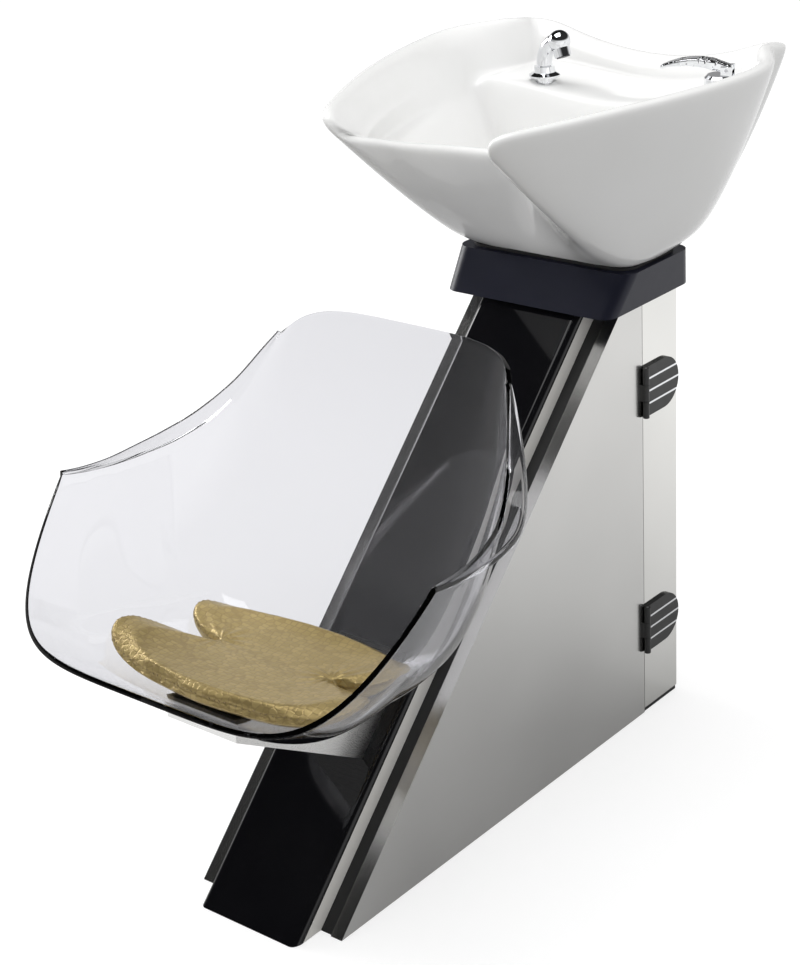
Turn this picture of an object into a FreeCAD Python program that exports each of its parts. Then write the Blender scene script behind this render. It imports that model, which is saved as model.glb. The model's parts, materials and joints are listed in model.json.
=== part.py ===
import FreeCAD, Part
import math
import os

# Salon backwash unit: a wedge pedestal carries a clear bucket seat on an arm
# and a glazed basin with its water fittings. Sizes are in millimetres. The
# origin is the middle of the four floor bolts, +Y points to the rear, +Z up.

doc = FreeCAD.newDocument("backwash_unit")
sheet = doc.addObject("Spreadsheet::Sheet", "Sizes")

SIZES = [
    ("body_width", 260),
    ("body_height", 712),
    ("rear_y", 400),
    ("door_depth", 98),
    ("toe_y", -500),
    ("crest_y", 212),
    ("sheet_thick", 2),
    ("plate_thick", 6),
    ("top_thick", 8),
    ("bolt_x", 85),
    ("bolt_y", 250),
    ("bolt_hole_r", 7),
    ("cover_width", 180),
    ("cover_thick", 12),
    ("channel_depth", 38),
    ("front_sheet_thick", 3),
    ("flange_width", 20),
    ("tube", 30),
    ("tube_wall", 2),
    ("post_x", 85),
    ("post_inset", 35),
    ("arm_width", 124),
    ("arm_wall", 4),
    ("arm_nose_y", -545),
    ("arm_nose_top", 352),
    ("arm_nose_height", 18),
    ("arm_low_z", 193),
    ("arm_high_z", 306),
    ("shell_thick", 7),
    ("collar_lap", 12),
    ("collar_height", 57),
    ("collar_overhang", 20),
    ("gasket_thick", 4),
    ("bowl_height", 285),
    ("drain_inset", 82),
    ("tail_drop", 72),
    ("trap_height", 80),
    ("deck_drop", 66),
    ("deck_run", 70),
    ("mixer_x", 178),
    ("mixer_run", 122),
    ("shower_x", -121),
    ("shower_run", 101),
    ("door_clear", 1),
    ("hinge_gap", 6),
    ("barrel_r", 5),
    ("leaf_height", 80),
    ("leaf_length", 92),
    ("leaf_thick", 5),
    ("hinge_low_z", 150),
    ("hinge_drop", 162),
    ("running_clear", 0.05),
    ("slope_deg", "=atan(body_height / (crest_y - toe_y)) / 1 deg"),
    ("seam_y", "=rear_y - door_depth"),
    ("post_y", "=rear_y - post_inset"),
    ("collar_z", "=body_height - collar_lap"),
    ("collar_width", "=body_width + 2 * collar_overhang"),
    ("rim_z", "=collar_z + collar_height + gasket_thick + bowl_height"),
    ("drain_y", "=rear_y - drain_inset"),
    ("tail_z", "=body_height - tail_drop"),
    ("trap_z", "=tail_z - trap_height"),
    ("deck_z", "=rim_z - deck_drop"),
    ("deck_front_y", "=drain_y + deck_run"),
    ("mixer_y", "=drain_y + mixer_run"),
    ("shower_y", "=drain_y + shower_run"),
    ("hinge_high_z", "=body_height - hinge_drop"),
]
for row, (alias, number) in enumerate(SIZES, 1):
    sheet.set("A%d" % row, alias)
    sheet.set("B%d" % row, str(number))
    sheet.setAlias("B%d" % row, alias)
doc.recompute()


def size(alias):
    """Return one size of the sheet as a number."""
    return float(sheet.get(alias))


V = FreeCAD.Vector
HALF = size("body_width") / 2
SLOPE = math.radians(size("slope_deg"))
COVER_HALF = size("cover_width") / 2
nodes = []


def keep(obj):
    """Count an object as one node of the finished unit."""
    nodes.append(obj)
    return obj


def piece(label, shape):
    """Make a node from a finished shape."""
    obj = doc.addObject("Part::Feature", label)
    obj.Shape = shape
    return keep(obj)


def set_place(obj, x, y, z):
    """Tie an object's position to formulas of the sheet."""
    obj.setExpression("Placement.Base.x", x)
    obj.setExpression("Placement.Base.y", y)
    obj.setExpression("Placement.Base.z", z)


def block(label, length, width, height, x, y, z):
    """Make a box whose sizes and corner are formulas of the sheet."""
    obj = doc.addObject("Part::Box", label)
    obj.setExpression("Length", length)
    obj.setExpression("Width", width)
    obj.setExpression("Height", height)
    set_place(obj, x, y, z)
    return obj


def rod(label, radius, height, x, y, z):
    """Make an upright cylinder whose sizes are formulas of the sheet."""
    obj = doc.addObject("Part::Cylinder", label)
    obj.setExpression("Radius", radius)
    obj.setExpression("Height", height)
    set_place(obj, x, y, z)
    return obj


def join(label, members):
    """Fuse or gather several objects into one object."""
    obj = doc.addObject("Part::MultiFuse", label)
    obj.Shapes = members
    return obj


def carve(label, base, tool):
    """Cut one object out of another."""
    obj = doc.addObject("Part::Cut", label)
    obj.Base = base
    obj.Tool = tool
    return obj


def slope_y(z, depth):
    """Rear-ward place of the plane that lies a depth behind the cover's front."""
    return size("toe_y") + depth / math.sin(SLOPE) + z / math.tan(SLOPE)


def side_profile(points, x_low, x_high):
    """Extrude a profile of (y, z) points across the width."""
    wire = Part.makePolygon([V(x_low, y, z) for y, z in points + points[:1]])
    return Part.Face(wire).extrude(V(x_high - x_low, 0, 0))


def slope_strip(x_low, x_high, depth_front, depth_back, z_low, z_high):
    """Make a straight strip that runs up the sloping front."""
    points = [(slope_y(z_low, depth_front), z_low), (slope_y(z_low, depth_back), z_low),
              (slope_y(z_high, depth_back), z_high), (slope_y(z_high, depth_front), z_high)]
    return side_profile(points, x_low, x_high)


def mirror_x(shape):
    """Return the shape mirrored to the other side of the unit."""
    return shape.mirror(V(0, 0, 0), V(1, 0, 0))


def smooth_ring(points):
    """Return a closed smooth wire through the points."""
    curve = Part.BSplineCurve()
    curve.interpolate(points, PeriodicFlag=True)
    return Part.Wire(curve.toShape())


def smooth_line(points):
    """Return an open smooth edge through the points."""
    curve = Part.BSplineCurve()
    curve.interpolate(points)
    return curve.toShape()


def rounded_ring(half_x, y_low, y_high, radius, z):
    """Return a rectangle wire with round corners, centred on the width."""
    face = Part.makePlane(2 * half_x, y_high - y_low, V(-half_x, y_low, z))
    solid = face.extrude(V(0, 0, 1))
    corners = [e for e in solid.Edges if abs(e.Vertexes[0].Z - e.Vertexes[-1].Z) > 0.5]
    solid = solid.makeFillet(radius, corners)
    low = min(solid.Faces, key=lambda f: f.CenterOfMass.z)
    return low.OuterWire


def turned(points, centre):
    """Turn a profile of (radius, z) points about an upright axis."""
    x, y = centre
    wire = Part.makePolygon([V(x + r, y, z) for r, z in points + points[:1]])
    return Part.Face(wire).revolve(V(x, y, 0), V(0, 0, 1), 360)


# Floor plate with four bolt holes and the waste outlet

def make_floor_plate():
    plate = block("floor_blank", "Sizes.body_width - 2 * Sizes.sheet_thick",
                  "Sizes.rear_y - Sizes.toe_y - 75", "Sizes.plate_thick",
                  "Sizes.sheet_thick - Sizes.body_width / 2", "Sizes.toe_y + 70", "0")
    holes = []
    for side_x, side_y in ((-1, -1), (1, -1), (1, 1), (-1, 1)):
        hole = rod("bolt_hole", "Sizes.bolt_hole_r", "Sizes.plate_thick + 2",
                   "%d * Sizes.bolt_x" % side_x, "%d * Sizes.bolt_y" % side_y, "-1")
        holes.append(hole)
    holes.append(rod("waste_hole", "21", "Sizes.plate_thick + 2", "0", "Sizes.drain_y", "-1"))
    return keep(carve("floor_plate", plate, join("floor_holes", holes)))


# Inner frame: two rear posts, two sloping front rails and one tie

def make_frame():
    top = size("body_height") - size("top_thick")
    posts = []
    for side in (-1, 1):
        outer = block("post_outer", "Sizes.tube", "Sizes.tube",
                      "Sizes.body_height - Sizes.top_thick - Sizes.plate_thick",
                      "%d * Sizes.post_x - Sizes.tube / 2" % side,
                      "Sizes.post_y - Sizes.tube / 2", "Sizes.plate_thick")
        inner = block("post_bore", "Sizes.tube - 2 * Sizes.tube_wall",
                      "Sizes.tube - 2 * Sizes.tube_wall", "Sizes.body_height",
                      "%d * Sizes.post_x - Sizes.tube / 2 + Sizes.tube_wall" % side,
                      "Sizes.post_y - Sizes.tube / 2 + Sizes.tube_wall", "0")
        posts.append(carve("post", outer, inner))
    keep(join("frame_posts", posts))

    back = size("channel_depth") + size("front_sheet_thick")
    tube, wall = size("tube"), size("tube_wall")
    outer_x = HALF - size("sheet_thick")
    low, high = size("plate_thick"), top - 70
    rail = slope_strip(outer_x - tube, outer_x, back, back + tube, low, high)
    bore = slope_strip(outer_x - tube + wall, outer_x - wall,
                       back + wall, back + tube - wall, low - 1, high + 1)
    rail = rail.cut(bore)
    piece("frame_rails", Part.makeCompound([rail, mirror_x(rail)]))

    keep(block("frame_tie", "2 * Sizes.post_x - Sizes.tube", "Sizes.tube", "Sizes.tube",
               "Sizes.tube / 2 - Sizes.post_x", "Sizes.post_y - Sizes.tube / 2", "Sizes.body_height / 2"))


# Brushed side panels, each with a flange folded in along the sloping edge

def make_side_panels():
    top = size("body_height")
    front = size("channel_depth") - size("sheet_thick")
    inner = HALF - size("sheet_thick")
    seam = size("seam_y") - size("door_clear")
    sheet_face = [(slope_y(0, front), 0), (seam, 0), (seam, top), (slope_y(top, front), top)]
    panel = side_profile(sheet_face, inner, HALF)
    flange = slope_strip(HALF - size("flange_width"), HALF, front, size("channel_depth"), 0, top)
    panel = panel.fuse(flange).removeSplitter()
    piece("right_side_panel", panel)
    piece("left_side_panel", mirror_x(panel))


# Black front sheet of the body, seen as the dark recess beside the channel

def make_front_sheet():
    inner = HALF - size("sheet_thick")
    back = size("channel_depth") + size("front_sheet_thick")
    holes = [bolt_line(x, s, 5.5) for x, s in arm_bolt_places()]
    strip = slope_strip(-inner, inner, size("channel_depth"), back, 0, size("body_height"))
    piece("front_sheet", strip.cut(holes))


# Brushed channel and gloss cover that stand proud of the sloping front

def along_slope(shape):
    """Lay a shape drawn flat (x across, y up the slope, z outward) on the slope."""
    shape.rotate(V(0, 0, 0), V(1, 0, 0), size("slope_deg"))
    shape.translate(V(0, size("toe_y"), 0))
    limit = Part.makeBox(600, 3000, size("body_height"), V(-300, -1500, 0))
    return shape.common(limit)


def slope_length():
    """Length of the sloping front with spare at both ends."""
    return size("body_height") / math.sin(SLOPE) + 160


def make_front_channel():
    wall = size("sheet_thick")
    front, back = -size("cover_thick"), -size("channel_depth")
    outer = Part.makeBox(2 * COVER_HALF, slope_length(), front - back, V(-COVER_HALF, -80, back))
    inner = Part.makeBox(2 * (COVER_HALF - wall), slope_length(), front - back,
                         V(wall - COVER_HALF, -80, back + wall))
    holes = [bolt_line(x, s, 5.5) for x, s in arm_bolt_places()]
    piece("front_channel", along_slope(outer.cut(inner)).cut(holes))


def make_front_cover():
    thick = size("cover_thick")
    panel = Part.makeBox(2 * COVER_HALF, slope_length(), thick, V(-COVER_HALF, -80, -thick))
    long_edges = [e for e in panel.Edges
                  if abs(e.CenterOfMass.z) < 0.01 and abs(abs(e.CenterOfMass.x) - COVER_HALF) < 0.01]
    panel = panel.makeFillet(thick - 0.5, long_edges)
    holes = [bolt_line(x, s, 5.5) for x, s in arm_bolt_places()]
    piece("front_cover", along_slope(panel).cut(holes))


# Top plate that carries the collar and the basin

def make_top_plate():
    front = ("(Sizes.toe_y + Sizes.body_height / tan(Sizes.slope_deg) + 1"
             " + (Sizes.channel_depth + Sizes.front_sheet_thick) / sin(Sizes.slope_deg))")
    plate = block("top_blank", "Sizes.body_width - 2 * Sizes.sheet_thick",
                  "Sizes.rear_y - 2 - " + front, "Sizes.top_thick",
                  "Sizes.sheet_thick - Sizes.body_width / 2", front,
                  "Sizes.body_height - Sizes.top_thick")
    waste = rod("top_hole", "46", "20", "0", "Sizes.drain_y", "Sizes.body_height - 14")
    keep(carve("top_plate", plate, waste))


# Folded seat arm: a hollow wedge from the sloping front to under the seat

def arm_outline(inset):
    """Side outline of the arm, drawn in from its faces by an inset."""
    nose = size("arm_nose_y") + inset
    top = size("arm_nose_top") - inset
    low = size("arm_nose_top") - size("arm_nose_height") + inset
    foot = size("arm_low_z") + inset * 1.5
    head = size("arm_high_z") - inset * 1.5
    back = -inset
    return [(nose, low), (slope_y(foot, back), foot), (slope_y(head, back), head), (nose, top)]


def arm_bolt_places():
    """Places of the arm's bolts, across and up the slope."""
    middle = (size("arm_low_z") + size("arm_high_z")) / 2 / math.sin(SLOPE)
    return [(x, middle + s) for x in (-34, 34) for s in (-38, 38)]


def bolt_line(x, s, radius, start=-60, length=120):
    """Make a cylinder square to the slope, for a bolt or its hole."""
    outward = V(0, -math.sin(SLOPE), math.cos(SLOPE))
    point = V(x, size("toe_y") + s * math.cos(SLOPE), s * math.sin(SLOPE)) + outward * start
    return Part.makeCylinder(radius, length, point, outward)


def make_seat_arm():
    half = size("arm_width") / 2
    wall = size("arm_wall")
    arm = side_profile(arm_outline(0), -half, half)
    hollow = side_profile(arm_outline(wall), wall - half, half - wall)
    holes = [bolt_line(x, s, 5.5, -20, 40) for x, s in arm_bolt_places()]
    screws = [Part.makeCylinder(3.5, 60, V(x, y, z - 30)) for x, y, z in seat_screw_places()]
    piece("seat_arm", arm.cut(hollow).cut(holes + screws))

    bolts = []
    back = size("channel_depth") + size("front_sheet_thick")
    for x, s in arm_bolt_places():
        shank = bolt_line(x, s, 5, -back - 10, back + 10 + wall)
        head = bolt_line(x, s, 8, wall, 6)
        nut = bolt_line(x, s, 8, -back - 8, 8)
        bolts.append(shank.fuse([head, nut]))
    piece("arm_bolts", Part.makeCompound(bolts))


# Clear bucket seat: one bent sheet whose sections follow the stations below

# Each station runs across the seat: middle (y, z), rim (x, y, z), then how late
# the section sweeps back and how late it lifts on its way from middle to rim.
SEAT_STATIONS = [
    ((-640, 419), (330, -452, 584), 2.2, 2.4),
    ((-557, 366), (322, -413, 577), 2.0, 2.1),
    ((-458, 344), (313, -364, 573), 1.8, 1.8),
    ((-360, 331), (301, -312, 575), 1.7, 1.7),
    ((-295, 336), (285, -262, 583), 1.7, 1.7),
    ((-248, 392), (263, -216, 603), 1.7, 1.7),
    ((-197, 492), (238, -172, 641), 1.7, 1.7),
    ((-137, 622), (215, -139, 690), 1.8, 1.8),
    ((-78, 750), (203, -123, 716), 2.0, 2.0),
]
SEAT_ACROSS = 6
SEAT_TURN = math.radians(70)


def seat_point(station, across):
    """Point of the seat's under face, across from -1 at the left to 1 at the right."""
    (mid_y, mid_z), (rim_x, rim_y, rim_z), sweep, lift = station
    turn = abs(across) * SEAT_TURN
    rise = (1 - math.cos(turn)) / (1 - math.cos(SEAT_TURN))
    x = math.copysign(rim_x * math.sin(turn) / math.sin(SEAT_TURN), across)
    return V(x, mid_y + (rim_y - mid_y) * rise ** sweep, mid_z + (rim_z - mid_z) * rise ** lift)


def seat_face():
    """Smooth under face of the seat, lofted through its stations."""
    steps = [i / SEAT_ACROSS for i in range(-SEAT_ACROSS, SEAT_ACROSS + 1)]
    sections = []
    for station in SEAT_STATIONS:
        section = smooth_line([seat_point(station, across) for across in steps])
        sections.append(Part.Wire(section))
    return Part.makeLoft(sections, False).Faces[0]


def seat_screw_places():
    """Places of the seat's screws on the arm's top face."""
    drop = (size("arm_nose_top") - size("arm_high_z"))
    run = slope_y(size("arm_high_z"), 0) - size("arm_nose_y")
    places = []
    for y in (-500, -400):
        z = size("arm_nose_top") - (y - size("arm_nose_y")) * drop / run
        places += [(-40, y, z), (40, y, z)]
    return places


def largest(shape):
    """Return the biggest solid of a shape."""
    return max(shape.Solids, key=lambda solid: solid.Volume)


def make_seat_pad(blank, holes):
    """Fill the wedge between the arm's top and the seat with a dark pad."""
    half = size("arm_width") / 2
    nose, top = size("arm_nose_y"), size("arm_nose_top")
    fall = (top - size("arm_high_z")) / (slope_y(size("arm_high_z"), 0) - nose)
    rear = nose + 200
    rear_z = top - 200 * fall
    outline = [(nose, top), (rear, rear_z), (rear, rear_z + 30), (nose, top + 30)]
    wedge = side_profile(outline, -half, half)
    pad = min(wedge.cut(blank).Solids, key=lambda solid: solid.CenterOfMass.z)
    piece("seat_pad", pad.cut(holes))


def make_seat_screws(blank):
    """Set the seat's screws and return the room their heads need."""
    screws, rooms = [], []
    for x, y, z in seat_screw_places():
        ray = Part.makeLine(V(x + 6, y, z - 5), V(x + 6, y, z + 40))
        pan_z = blank.common(ray).BoundBox.ZMax
        shank = Part.makeCylinder(3, pan_z + 19 - z, V(x, y, z - 16))
        head = Part.makeCylinder(7, pan_z + 4 - z, V(x, y, z)).cut(blank)
        head = max(head.Solids, key=lambda solid: solid.CenterOfMass.z)
        screws.append(shank.fuse(head))
        rooms.append(Part.makeCylinder(7.6, pan_z + 4.6 - z, V(x, y, z)))
    piece("seat_screws", Part.makeCompound(screws))
    return rooms


def make_seat():
    thick = size("shell_thick")
    face = seat_face()
    blank = face.makeOffsetShape(thick, 0.01, fill=True)
    holes = [Part.makeCylinder(3.5, 120, V(x, y, z - 60)) for x, y, z in seat_screw_places()]
    piece("seat_shell", blank.cut(holes))
    make_seat_pad(blank, holes)
    rooms = make_seat_screws(blank)
    lying = face.makeOffsetShape(thick + 0.4, 0.01, fill=True)
    piece("seat_cushion", largest(cushion_blank().cut(lying).cut(rooms)))


# Seat cushion: two lobes with a drawn-in waist and a crowned top

CUSHION_FRONT = [(0, -556), (100, -548), (168, -510), (196, -464), (178, -426)]
CUSHION_NOTCH = (97, -404)
CUSHION_REAR = [(172, -382), (186, -345), (140, -300), (0, -282)]
CUSHION_MIDDLE = -415
CUSHION_TILT = -4


def cushion_ring(scale, z):
    """Outline of the cushion drawn in towards its middle, the notches kept in place."""
    def drawn_in(points):
        return [(x * scale, CUSHION_MIDDLE + (y - CUSHION_MIDDLE) * scale) for x, y in points]
    return mirrored_ring(drawn_in(CUSHION_FRONT) + [CUSHION_NOTCH] + drawn_in(CUSHION_REAR), z)


def cushion_blank():
    """Crowned cushion before its under side is fitted to the seat."""
    levels = ((0.9, 328), (0.97, 358), (1, 372), (0.97, 386), (0.87, 396), (0.68, 402))
    blank = Part.makeLoft([cushion_ring(scale, z) for scale, z in levels], True)
    blank.rotate(V(0, CUSHION_MIDDLE, 350), V(1, 0, 0), CUSHION_TILT)
    return blank


# Basin of glazed ceramic

def bowl_foot_z():
    """Height of the basin's foot on its gasket."""
    return size("collar_z") + size("collar_height") + size("gasket_thick")


def mirrored_ring(half, z):
    """Close half an outline with its mirror image."""
    right = [V(x, y, z) for x, y in half]
    left = [V(-x, y, z) for x, y in reversed(half[1:-1])]
    return smooth_ring(right + left)


# Half outlines of the basin about its drain, from the front middle to the rear
# middle, at the foot and at the rim, with how early each point swings out on
# the way up.
BOWL_FOOT = [(0, -82), (52, -82), (100, -82), (140, -72), (152, -38),
             (152, 12), (140, 56), (80, 68), (0, 68)]
BOWL_RIM = [(0, -206), (62, -260), (116, -354), (152, -381), (260, -164),
            (296, 52), (240, 162), (212, 226), (0, 258)]
BOWL_SWING = (0.95, 0.95, 1.0, 1.05, 0.85, 0.62, 0.55, 0.5, 0.5)
BOWL_MIDDLE = V(0, size("drain_y") - 18, 0)
BASIN_FLOOR = 0.22


def outline_half(share):
    """Right half of the basin's outline: 0 at its foot, 1 at its rim."""
    half = []
    drain_y = size("drain_y")
    for (foot_x, foot_y), (rim_x, rim_y), swing in zip(BOWL_FOOT, BOWL_RIM, BOWL_SWING):
        out = share ** swing
        half.append((foot_x + (rim_x - foot_x) * out, drain_y + foot_y + (rim_y - foot_y) * out))
    return half


def bowl_level(share):
    """Height at which the basin's outline has a share of its full spread."""
    return bowl_foot_z() + (size("rim_z") - bowl_foot_z()) * share


def bowl_outline(share, wall=0, rear_limit=1000):
    """Closed outline of the basin at one level, drawn in by a wall."""
    half = []
    for x, y in outline_half(share):
        inward = BOWL_MIDDLE - V(x, y, 0)
        inward.normalize()
        half.append((x + inward.x * wall, min(y + inward.y * wall, rear_limit)))
    return mirrored_ring(half, bowl_level(share))


def bowl_cuts():
    """Solids taken off the basin's top: the crown line, the neck and the rear dip."""
    drain_y, rim_z = size("drain_y"), size("rim_z")
    line = [(-618, -82), (-378, -32), (-218, -12), (12, -2), (162, 7), (262, -10), (382, -30),
            (382, 154), (-618, 154)]
    crown = side_profile([(drain_y + y, rim_z + z) for y, z in line], -400, 400)
    neck = Part.makeCylinder(170, 410, V(0, drain_y - 518, rim_z - 109 + 170), V(0, 1, 0))
    dip = Part.makeCylinder(500, 300, V(0, drain_y + 112, rim_z - 48 + 500), V(0, 1, 0))
    return [crown, neck, dip]


def bowl_hollow(basin_walls, front, skin):
    """Space inside the casting, open at the foot and a skin away from every face."""
    inside = Part.makeLoft([bowl_outline(t, skin) for t in (0, 0.12, 0.35, 0.66)], True)
    lining = Part.makeLoft([bowl_outline(max(t - 0.06, 0.01), wall - skin, front + skin)
                            for t, wall in basin_walls], True)
    return largest(inside.cut(lining))


def make_bowl():
    foot_z = bowl_foot_z()
    over = 1.06
    outer = Part.makeLoft([bowl_outline(t) for t in (0, 0.12, 0.35, 0.65, over)], True)
    front = size("deck_front_y")
    basin_walls = ((BASIN_FLOOR, 70), (0.36, 44), (0.65, 30), (over, 26))
    basin = Part.makeLoft([bowl_outline(t, wall, front) for t, wall in basin_walls], True)
    deck_share = (size("deck_z") - foot_z) / (size("rim_z") - foot_z)
    dish = Part.makeLoft([bowl_outline(deck_share, 30), bowl_outline(over, 24)], True)
    hollow = bowl_hollow(basin_walls, front, 18)
    drain_y = size("drain_y")
    floor_z = bowl_level(BASIN_FLOOR)
    holes = [hollow, Part.makeCylinder(24.3, floor_z - foot_z + 10, V(0, drain_y, foot_z - 10)),
             Part.makeCylinder(34.3, 30, V(0, drain_y, floor_z - 3))]
    for (x, y), radius, depth in ((mixer_place(), 12.3, 15), (shower_place(), 13.3, 41)):
        holes.append(Part.makeCylinder(radius, depth + 30, V(x, y, size("deck_z") - depth)))
    piece("bowl", largest(outer.cut(basin).cut(dish).cut(bowl_cuts()).cut(holes)))


# Dark collar that the basin sits on, with a skirt over the body's top

def make_collar():
    low, high = size("collar_z"), size("collar_z") + size("collar_height")
    top = size("body_height")
    half = size("collar_width") / 2
    wall = 7
    front, back = slope_y(low, 0) - 16, size("rear_y") + 8
    outer = Part.makeLoft([rounded_ring(half, front, back, 24, low),
                           rounded_ring(half + 7, front + 44, back - 12, 24, high)], True)
    reach = [(slope_y(low - 1, 0) - 3, low - 1), (back - wall, low - 1),
             (back - wall, top), (slope_y(top, 0) - 3, top)]
    skirt = side_profile(reach, wall - half, half - wall)
    waste = Part.makeCylinder(40, 120, V(0, size("drain_y"), low))
    piece("collar", outer.cut(skirt).cut(waste))

    drain_y, thick = size("drain_y"), size("gasket_thick")
    ring = Part.Face(rounded_ring(146, drain_y - 78, drain_y + 64, 30, high)).extrude(V(0, 0, thick))
    middle = Part.Face(rounded_ring(122, drain_y - 54, drain_y + 42, 24, high)).extrude(V(0, 0, thick))
    piece("bowl_gasket", ring.cut(middle))


# Drain: flanged tail, lift-out strainer, trap and waste pipe

def make_drain():
    centre = (0, size("drain_y"))
    seat_z = bowl_level(BASIN_FLOOR) - 3
    tail_z, trap_z = size("tail_z"), size("trap_z")
    piece("drain_tail", turned([(34, seat_z), (34, seat_z + 3), (21, seat_z + 3), (21, tail_z),
                                (24, tail_z), (24, seat_z)], centre))
    piece("waste_trap", turned([(24.3, tail_z + 30), (36, tail_z + 30), (36, trap_z), (16, trap_z),
                                (16, trap_z + 4), (32, trap_z + 4), (32, tail_z), (24.3, tail_z)], centre))
    pipe = rod("pipe_outer", "20", "Sizes.trap_z", "0", "Sizes.drain_y", "0")
    bore = rod("pipe_bore", "16", "Sizes.trap_z + 2", "0", "Sizes.drain_y", "-1")
    keep(carve("waste_pipe", pipe, bore))

    disc = turned([(0, seat_z + 3), (29, seat_z + 3), (29, seat_z + 5),
                   (20, seat_z + 7), (0, seat_z + 7)], centre)
    stub = turned([(17, seat_z - 12), (20.5, seat_z - 12), (20.5, seat_z + 4), (17, seat_z + 4)], centre)
    knob = turned([(0, seat_z + 6), (4, seat_z + 6), (6, seat_z + 14), (0, seat_z + 14)], centre)
    holes = []
    for index in range(8):
        turn = 2 * math.pi * index / 8
        at = V(12.5 * math.cos(turn), size("drain_y") + 12.5 * math.sin(turn), seat_z)
        holes.append(Part.makeCylinder(2.6, 20, at))
    piece("hair_strainer", disc.cut(holes).fuse([stub, knob]))


# Single-lever mixer on the right of the rear deck

MIXER_TURN = 200


def mixer_place():
    """Middle of the mixer on the deck."""
    return size("mixer_x"), size("mixer_y")


def at_mixer(shape):
    """Turn a shape drawn along +X to the lever's direction and set it on the mixer."""
    x, y = mixer_place()
    shape.rotate(V(0, 0, 0), V(0, 0, 1), MIXER_TURN)
    shape.translate(V(x, y, size("deck_z")))
    return shape


def lever_shape(pin_z):
    """Long lever seen as its plan and its side view put together."""
    half_plan = [(-18, 8), (1, 8), (12, 13), (58, 12), (84, 7), (90, 0)]
    plan = half_plan + [(x, -y) for x, y in reversed(half_plan[:-1])]
    plan = Part.Face(Part.makePolygon([V(x, y, 0) for x, y in plan + plan[:1]]))
    top = Part.Arc(V(-10, 0, pin_z + 6.5), V(36, 0, pin_z + 15), V(92, 0, pin_z + 1)).toShape()
    low = Part.Arc(V(92, 0, pin_z - 2), V(36, 0, pin_z + 5), V(-10, 0, pin_z - 6.5)).toShape()
    rear = Part.Arc(V(-10, 0, pin_z - 6.5), V(-16.5, 0, pin_z), V(-10, 0, pin_z + 6.5)).toShape()
    tip = Part.makeLine(V(92, 0, pin_z + 1), V(92, 0, pin_z - 2))
    side = Part.Face(Part.Wire([top, tip, low, rear])).extrude(V(0, 40, 0))
    side.translate(V(0, -20, 0))
    return plan.extrude(V(0, 0, 100)).common(side)


def make_mixer():
    clear = size("running_clear")
    base_top = 13
    cap_low, cap_top = base_top + 0.3, base_top + 15
    pin_z = cap_top + 8
    base = turned([(0, 0), (26, 0), (26, 2), (24, 4), (24, base_top), (0, base_top)], (0, 0))
    tail = Part.makeCylinder(12, 14, V(0, 0, -14))
    spigot = Part.makeCylinder(8, 10, V(0, 0, base_top))
    piece("mixer_base", at_mixer(base.fuse([tail, spigot])))

    cap = turned([(8 + clear, cap_low), (24, cap_low), (24, cap_top - 4), (20, cap_top), (0, cap_top),
                  (0, base_top + 10.5), (8 + clear, base_top + 10.5)], (0, 0))
    ears = [Part.makeBox(16, 5, 14, V(-18, y, cap_top - 1)) for y in (9, -14)]
    pin_hole = Part.makeCylinder(2.5, 60, V(-10, -30, pin_z), V(0, 1, 0))
    piece("mixer_cap", at_mixer(cap.fuse(ears).cut(pin_hole)))
    piece("lever_pin", at_mixer(Part.makeCylinder(2.5, 28, V(-10, -14, pin_z), V(0, 1, 0))))
    pin_room = Part.makeCylinder(2.5 + clear, 60, V(-10, -30, pin_z), V(0, 1, 0))
    piece("mixer_lever", at_mixer(lever_shape(pin_z).cut(pin_room)))


# Pull-out hand shower on the left of the rear deck

def shower_place():
    """Middle of the hand shower's holder on the deck."""
    return size("shower_x"), size("shower_y")


def make_shower():
    x, y = shower_place()
    deck = size("deck_z")
    clear = size("running_clear")
    bore = 10 + clear
    piece("shower_holder", turned([(bore, deck - 40), (13, deck - 40), (13, deck), (24, deck), (24, deck + 3),
                                   (17, deck + 7), (15.5, deck + 16), (bore, deck + 16)], (x, y)))
    stem = Part.makeCylinder(10, 62, V(x, y, deck - 40))
    bend = smooth_line([V(x, y, deck + 18), V(x + 3, y, deck + 35),
                        V(x + 13, y, deck + 50), V(x + 28, y, deck + 56)])
    ring = Part.Wire(Part.makeCircle(12, V(x, y, deck + 18)))
    neck = Part.Wire(bend).makePipeShell([ring], True, False)
    head_at = V(x + 29, y, deck + 56)
    head = Part.makeSphere(17, head_at)
    aim = V(0.35, -0.1, -0.93)
    aim.normalize()
    nozzle = Part.makeCylinder(13, 24, head_at, aim)
    insert = Part.makeCylinder(10.5, 3, head_at + aim * 22, aim)
    piece("hand_shower", stem.fuse([neck, head, nozzle]).cut(insert))
    piece("spray_face", insert)


# Rear service door: a folded sheet that wraps the rear corners

def make_door():
    wall = size("sheet_thick")
    low, high = size("plate_thick") + 2, size("collar_z") - 4
    front = size("seam_y")
    rear = size("rear_y")
    outer = Part.makeBox(2 * HALF, rear - front, high - low, V(-HALF, front, low))
    corners = [e for e in outer.Edges if abs(e.CenterOfMass.y - rear) < 0.01
               and abs(abs(e.CenterOfMass.x) - HALF) < 0.01]
    outer = outer.makeFillet(6, corners)
    inner = Part.makeBox(2 * (HALF - wall), rear - front, high - low, V(wall - HALF, front - wall, low))
    corners = [e for e in inner.Edges if abs(e.CenterOfMass.y - (rear - wall)) < 0.01
               and abs(abs(e.CenterOfMass.x) - HALF + wall) < 0.01]
    inner = inner.makeFillet(4, corners)
    piece("rear_door", outer.cut(inner))


# Two door hinges: bullet leaves with bright strips on the door, knuckles, pins

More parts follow.
